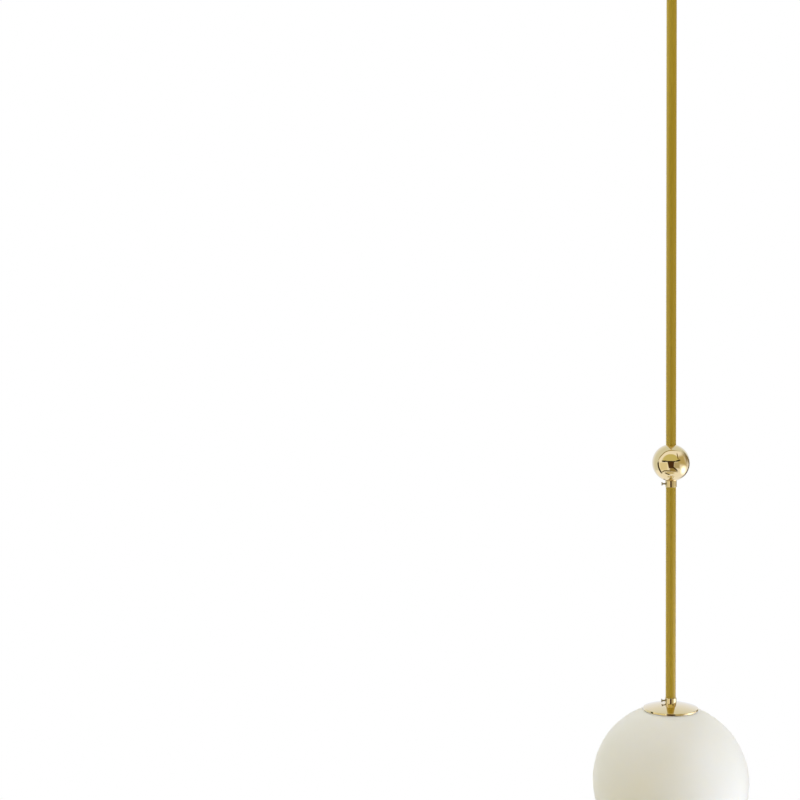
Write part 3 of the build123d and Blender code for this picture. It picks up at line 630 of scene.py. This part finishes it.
bottom, top = span("bulb_screw_cap")
section = rounded(cornersFrom(bulbSet["cap"], bottom=bottom, top=top), steps=5)
mesh = evaluated("bulbScrewCap", turnedMesh("bulbScrewCap", section, bulbSet["capSides"]), threadTree, {
    "Radius": bulbSet["core"] * mm, "Pitch": bulbSet["pitch"] * mm,
    "Turns": (top - bottom - bulbSet["plain"]) / bulbSet["pitch"], "Ridge": bulbSet["rope"] * mm,
    "Start": (bottom + bulbSet["threadStart"]) * mm, "Place": (0.0, 0.0, 0.0), "Turn": (0.0, 0.0, 0.0),
    "Finish": capMetal})
show("bulbScrewCap", smoothed(mesh, 50), "bulb_screw_cap")
print("bulb ready")

# the camera stands to the left of the stem, level with the upper rod, and looks slightly down
cameraSet = {"place": (-0.3451, -2.1033, -0.4739), "pitch": 3.5, "roll": 0.487, "lens": 74.25,
             "sensor": 36.0, "clip": (0.05, 50.0)}
camera = putInScene("camera", bpy.data.cameras.new("camera"))
scene.camera = camera
camera.data.sensor_width = cameraSet["sensor"]
camera.data.lens = cameraSet["lens"]
camera.data.clip_start, camera.data.clip_end = cameraSet["clip"]
camera.location = cameraSet["place"]
camera.rotation_euler = (math.radians(90 - cameraSet["pitch"]), math.radians(cameraSet["roll"]), 0)

# studio in metres: a white backdrop, a warm room round it and a pale floor far down;
# the ranges are shares of a ray's way, up or away from the camera
studioSet = {"floorLevel": -3.3, "floorSize": 8.0, "floor": "#F1F5FF", "shadowReach": (0.4, 3.2),
             "above": "#F4E8C8", "below": "#F5E9C6", "aboveRange": (-0.3, 0.3),
             "backdrop": "#FFFADC", "backdropRange": (0.0, 0.5), "fill": 0.83,
             "mirrored": "#E2E7DE", "mirroredBehind": "#F3F7FF", "mirroredRange": (0.55, 0.9)}
white = (1, 1, 1, 1)
world = bpy.data.worlds.new("studio")
scene.world = world
tree = emptyTree(world)
rays = addNode(tree, "ShaderNodeLightPath").outputs
way = addNode(tree, "ShaderNodeSeparateXYZ", links={
    0: addNode(tree, "ShaderNodeTexCoord").outputs["Generated"]}).outputs
shares = {}
for name, axis in (("aboveRange", "Z"), ("backdropRange", "Y"), ("mirroredRange", "Y")):
    start, end = studioSet[name]
    shares[name] = addNode(tree, "ShaderNodeMapRange", values={"From Min": start, "From Max": end},
                           links={"Value": way[axis]}).outputs["Result"]
room = addNode(tree, "ShaderNodeMix", {"data_type": "RGBA"},
               {6: linear(studioSet["below"]), 7: linear(studioSet["above"])}, {0: shares["aboveRange"]})
tint = addNode(tree, "ShaderNodeMix", {"data_type": "RGBA"}, {7: linear(studioSet["backdrop"])},
               {0: shares["backdropRange"], 6: room.outputs[2]})
mirrorTint = addNode(tree, "ShaderNodeMix", {"data_type": "RGBA"},
                     {6: linear(studioSet["mirrored"]), 7: linear(studioSet["mirroredBehind"])},
                     {0: shares["mirroredRange"]})
fill = addNode(tree, "ShaderNodeBackground", values={"Strength": studioSet["fill"]},
               links={"Color": tint.outputs[2]})
whiteMirrored = addNode(tree, "ShaderNodeBackground", values={"Strength": 1.0},
                        links={"Color": mirrorTint.outputs[2]})
whiteSeen = addNode(tree, "ShaderNodeBackground", values={"Color": white, "Strength": 1.0})
mirrorMix = addNode(tree, "ShaderNodeMixShader", links={
    0: rays["Is Glossy Ray"], 1: fill.outputs[0], 2: whiteMirrored.outputs[0]})
seen = addNode(tree, "ShaderNodeMath", {"operation": "MAXIMUM"},
               links={0: rays["Is Camera Ray"], 1: rays["Is Transmission Ray"]})
seenMix = addNode(tree, "ShaderNodeMixShader", links={
    0: seen.outputs[0], 1: mirrorMix.outputs[0], 2: whiteSeen.outputs[0]})
addNode(tree, "ShaderNodeOutputWorld", links={"Surface": seenMix.outputs[0]})

# the floor's middle keeps the shadow and fades into the white round it
floorFinish = bpy.data.materials.new("paleStudioFloor")
tree = emptyTree(floorFinish)
rays = addNode(tree, "ShaderNodeLightPath").outputs
matte = addNode(tree, "ShaderNodeBsdfDiffuse", values={"Color": linear(studioSet["floor"])})
glow = addNode(tree, "ShaderNodeEmission", values={"Color": white, "Strength": 1.0})
flat = addNode(tree, "ShaderNodeMapping", values={"Scale": (1, 1, 0)},
               links={"Vector": addNode(tree, "ShaderNodeTexCoord").outputs["Object"]})
reach = addNode(tree, "ShaderNodeVectorMath", {"operation": "LENGTH"}, links={0: flat.outputs["Vector"]})
edgeFade = addNode(tree, "ShaderNodeMapRange", {"interpolation_type": "SMOOTHSTEP"},
                   {"From Min": studioSet["shadowReach"][0], "From Max": studioSet["shadowReach"][1]},
                   {"Value": reach.outputs["Value"]})
outside = addNode(tree, "ShaderNodeMath", {"operation": "MULTIPLY"},
                  links={0: rays["Is Camera Ray"], 1: edgeFade.outputs["Result"]})
seen = addNode(tree, "ShaderNodeMath", {"operation": "MAXIMUM"},
               links={0: outside.outputs[0], 1: rays["Is Glossy Ray"]})
mixed = addNode(tree, "ShaderNodeMixShader", links={
    0: seen.outputs[0], 1: matte.outputs[0], 2: glow.outputs[0]})
addNode(tree, "ShaderNodeOutputMaterial", links={"Surface": mixed.outputs[0]})
half = studioSet["floorSize"] / 2
floorMesh = bpy.data.meshes.new("floor")
floorMesh.from_pydata([(x, y, studioSet["floorLevel"]) for x, y in (
    (-half, -half), (half, -half), (half, half), (-half, half))], [], [(0, 1, 2, 3)])
floorMesh.materials.append(floorFinish)
floor = putInScene("floor", floorMesh)
floor.visible_diffuse = False

# glowing cards round the studio that only polished metal sees: they paint the reflections of the studio's
# things and shade on it; each is set out by where the ball mirrors it, as (right, up) shares of the ball's
# radius
cardSteps = 14
ballPoint = Vector((0, 0, ballLevel * mm))
toCamera = (camera.location - ballPoint).normalized()
rightWay = Vector((0, 0, 1)).cross(toCamera).normalized()
upWay = toCamera.cross(rightWay)


def mirrored(a, b, distance):
    # the point at that distance from the ball that its spot (a, b) mirrors to the camera
    c = math.sqrt(max(0.0, 1 - a * a - b * b))
    return ballPoint + (2 * a * c * rightWay + 2 * b * c * upWay + (2 * c * c - 1) * toCamera) * distance


def reflectionCardFinish(name, colour, strength, soft, oval):
    # an even tone that fades out towards the edges of the card, or of the ellipse inside it
    material = bpy.data.materials.new(name)
    tree = emptyTree(material)
    spot = addNode(tree, "ShaderNodeTexCoord").outputs["UV"]
    apart = addNode(tree, "ShaderNodeVectorMath", {"operation": "SUBTRACT"}, {1: (0.5, 0.5, 0)}, {0: spot})
    if oval:
        far = addNode(tree, "ShaderNodeVectorMath", {"operation": "LENGTH"},
                      links={0: apart.outputs["Vector"]}).outputs["Value"]
    else:
        sizes = addNode(tree, "ShaderNodeVectorMath", {"operation": "ABSOLUTE"},
                        links={0: apart.outputs["Vector"]})
        parts = addNode(tree, "ShaderNodeSeparateXYZ", links={0: sizes.outputs["Vector"]})
        far = addNode(tree, "ShaderNodeMath", {"operation": "MAXIMUM"},
                      links={0: parts.outputs["X"], 1: parts.outputs["Y"]}).outputs[0]
    inside = addNode(tree, "ShaderNodeMath", {"operation": "SUBTRACT"}, {0: 0.5}, {1: far})
    fade = addNode(tree, "ShaderNodeMapRange", {"interpolation_type": "SMOOTHSTEP"}, {"From Max": soft},
                   {"Value": inside.outputs[0]})
    clear = addNode(tree, "ShaderNodeBsdfTransparent")
    tone = addNode(tree, "ShaderNodeEmission", values={"Color": linear(colour), "Strength": strength})
    card = addNode(tree, "ShaderNodeMixShader", links={
        0: fade.outputs[0], 1: clear.outputs[0], 2: tone.outputs[0]})
    addNode(tree, "ShaderNodeOutputMaterial", links={"Surface": card.outputs[0]})
    return material


def hangReflectionCard(name, rows, distance, colour, soft, strength=1.0, oval=False):
    # a card from rows of (right, up) spots, hung where the ball mirrors them
    mesh = bpy.data.meshes.new(name)
    across = len(rows[0])
    spots = [mirrored(a, b, distance) for row in rows for a, b in row]
    faces = [(r * across + k, r * across + k + 1, (r + 1) * across + k + 1, (r + 1) * across + k)
             for r in range(len(rows) - 1) for k in range(across - 1)]
    mesh.from_pydata(spots, [], faces)
    layer = mesh.uv_layers.new(name="card")
    for loop in mesh.loops:
        row, k = divmod(loop.vertex_index, across)
        layer.data[loop.index].uv = (k / (across - 1), row / (len(rows) - 1))
    mesh.materials.append(reflectionCardFinish(name, colour, strength, soft, oval))
    card = putInScene(name, mesh)
    card.visible_camera = card.visible_diffuse = card.visible_shadow = card.visible_transmission = False


def patch(corners):
    # rows of spots over a four-cornered patch: lower left, lower right, upper right, upper left
    n = cardSteps
    p = [Vector(c) for c in corners]
    return [[(p[0].lerp(p[1], i / n)).lerp(p[3].lerp(p[2], i / n), j / n)[:] for i in range(n + 1)]
            for j in range(n + 1)]


def vault(middle, half, low, high):
    # rows of spots over a half ellipse standing on its flat side, cut just short of its top
    n = cardSteps
    shortOfTop = 0.97
    angles = [math.pi / 2 * j / n * shortOfTop for j in range(n + 1)]
    return [[(middle + half * math.cos(t) * (2 * i / n - 1), low + (high - low) * math.sin(t))
             for i in range(n + 1)] for t in angles]


def strip(line, width):
    # rows of spots along a line, for a seam or a rail of the studio
    points = [Vector(p) for p in line]
    rows = [[], [], []]
    for i, p in enumerate(points):
        along = (points[min(i + 1, len(points) - 1)] - points[max(i - 1, 0)]).normalized()
        side = Vector((-along.y, along.x)) * width / 2
        for row, shift in zip(rows, (-side, Vector((0, 0)), side)):
            row.append((p + shift)[:])
    return rows


# distance, colour, soft edge and corners
patches = {
    "whiteSweep": (3.1, "#FFFFFF", 0.03, ((-0.68, -0.83), (0.95, -0.83), (0.95, 0.68), (-0.68, 0.68))),
    "rightWall": (2.95, "#C4B684", 0.30, ((0.22, -0.12), (1.0, -0.32), (0.68, 0.62), (0.28, 0.36))),
    "panelFrame": (2.85, "#FFFBE6", 0.10, ((-0.62, -0.46), (-0.12, -0.43), (-0.12, 0.04), (-0.68, 0.04))),
    "leftPanel": (2.8, "#EBE4C6", 0.08, ((-0.54, -0.40), (-0.18, -0.37), (-0.20, 0.01), (-0.60, 0.01))),
    "rightPanel": (2.8, "#BDB492", 0.25, ((0.08, -0.32), (0.52, -0.36), (0.50, 0.08), (0.12, 0.08))),
    "shadedFloor": (2.78, "#9C8B58", 0.25, ((-0.18, -0.48), (0.42, -0.54), (0.20, -0.22), (-0.08, -0.23))),
    "foldShade": (2.79, "#D0C59C", 0.3, ((-0.34, -0.60), (0.22, -0.62), (0.26, -0.46), (-0.36, -0.46))),
    "darkStand": (2.65, "#4E3620", 0.09, ((-0.12, -0.31), (0.15, -0.30), (0.19, 0.085), (-0.215, 0.085))),
}
# distance, colour, soft edge, width and line
seams = {
    # painted shade: a dark band for the room's corner in shade, seen only in polished metal
    "wallCornerShade": (2.9, "#8C7A48", 0.5, 0.24, (
        (0.46, 0.64), (0.61, 0.53), (0.73, 0.40), (0.80, 0.26), (0.84, 0.10), (0.85, -0.06),
        (0.84, -0.20))),
    "backdropEdgeLeft": (2.6, "#33270C", 0.25, 0.10, (
        (-0.445, -0.61), (-0.485, -0.55), (-0.545, -0.46), (-0.605, -0.34), (-0.65, -0.20), (-0.67, -0.06),
        (-0.662, 0.03), (-0.65, 0.10))),
    "backdropEdgeTop": (2.6, "#A09058", 0.3, 0.06, (
        (-0.665, 0.0), (-0.645, 0.14), (-0.605, 0.235), (-0.55, 0.32), (-0.45, 0.425), (-0.35, 0.525),
        (-0.26, 0.585), (-0.11, 0.635), (0.04, 0.65), (0.20, 0.645), (0.37, 0.62), (0.54, 0.56))),
    "backdropEdgeRight": (2.6, "#5E4A1E", 0.3, 0.065, (
        (0.47, 0.70), (0.65, 0.56), (0.80, 0.39), (0.895, 0.22), (0.935, 0.06), (0.945, -0.07),
        (0.93, -0.20), (0.895, -0.32), (0.84, -0.45), (0.73, -0.62), (0.585, -0.745), (0.45, -0.80),
        (0.25, -0.84))),
    "railLeft": (2.6, "#1C1408", 0.3, 0.12, (
        (-0.50, 0.075), (-0.41, 0.075), (-0.34, 0.075), (-0.20, 0.07))),
    "railMiddle": (2.6, "#33260E", 0.3, 0.08, (
        (-0.48, 0.08), (-0.28, 0.075), (-0.10, 0.07), (0.10, 0.065), (0.24, 0.07), (0.36, 0.10))),
    "railRight": (2.6, "#241909", 0.3, 0.11, (
        (0.23, 0.08), (0.34, 0.105), (0.42, 0.125), (0.52, 0.155))),
    "pole": (2.6, "#7A6428", 0.3, 0.07, (
        (0.28, 0.56), (0.325, 0.43), (0.34, 0.33), (0.36, 0.23), (0.46, 0.13))),
    "tableEdge": (2.6, "#3E2E12", 0.3, 0.10, (
        (0.03, -0.13), (0.13, -0.25), (0.22, -0.31), (0.30, -0.39), (0.38, -0.51))),
    "panelFoot": (2.6, "#6E6038", 0.3, 0.09, (
        (-0.52, -0.56), (-0.44, -0.475), (-0.35, -0.43), (-0.24, -0.42), (-0.10, -0.43), (0.12, -0.45))),
    "sweepFold": (2.6, "#4E3F18", 0.3, 0.075, (
        (-0.36, -0.50), (-0.27, -0.555), (-0.19, -0.595), (-0.10, -0.625), (0.0, -0.63))),
}
hangReflectionCard("ceiling", vault(middle=-0.01, half=0.54, low=0.03, high=0.46), 2.75, "#D3CD8C", 0.15)
for name, (distance, colour, soft, corners) in patches.items():
    hangReflectionCard(name, patch(corners), distance, colour, soft, oval=name == "whiteSweep")
for name, (distance, colour, soft, width, line) in seams.items():
    hangReflectionCard(name, strip(line, width), distance, colour, soft)

# soft lights round the globe, by their way from it (right, up, to the camera), power and colour;
# polished metal doesn't see them, and a glowing card paints the main one's softbox highlight on it
lampSet = {"distance": 2.5, "size": 1.1, "lamps": {
    "mainLight": ((0.85, -0.41, 0.33), 38.0, "#D0DDF9"),
    "upperLight": ((0.46, 0.80, 0.22), 19.0, "#DCE4FF"),
    "leftLight": ((-0.94, 0.33, -0.05), 14.0, "#DCE6FF")}}
paintedHighlightSet = {"corners": ((0.40, -0.66), (0.76, -0.70), (0.88, -0.10), (0.52, -0.08)), "distance": 2.5,
              "colour": "#FFFFFF", "soft": 0.45, "strength": 2.6}
globePoint = Vector((0, 0, globeLevel * mm))
for name, (way, power, colour) in lampSet["lamps"].items():
    lamp = putInScene(name, bpy.data.lights.new(name, "AREA"))
    lamp.data.shape = "DISK"
    lamp.data.size = lampSet["size"]
    lamp.data.energy = power
    lamp.data.color = linear(colour)[:3]
    toLamp = (way[0] * rightWay + way[1] * upWay + way[2] * toCamera).normalized()
    lamp.location = globePoint + toLamp * lampSet["distance"]
    lamp.rotation_euler = (-toLamp).to_track_quat("-Z", "Y").to_euler()
    lamp.visible_glossy = False
# painted highlight: a glowing card, seen only by polished metal, where the ball mirrors the main light
hangReflectionCard("paintedSoftboxHighlight", patch(paintedHighlightSet["corners"]), paintedHighlightSet["distance"], paintedHighlightSet["colour"],
         paintedHighlightSet["soft"], paintedHighlightSet["strength"], oval=True)

scene.view_settings.view_transform = "Standard"
print("studio ready")
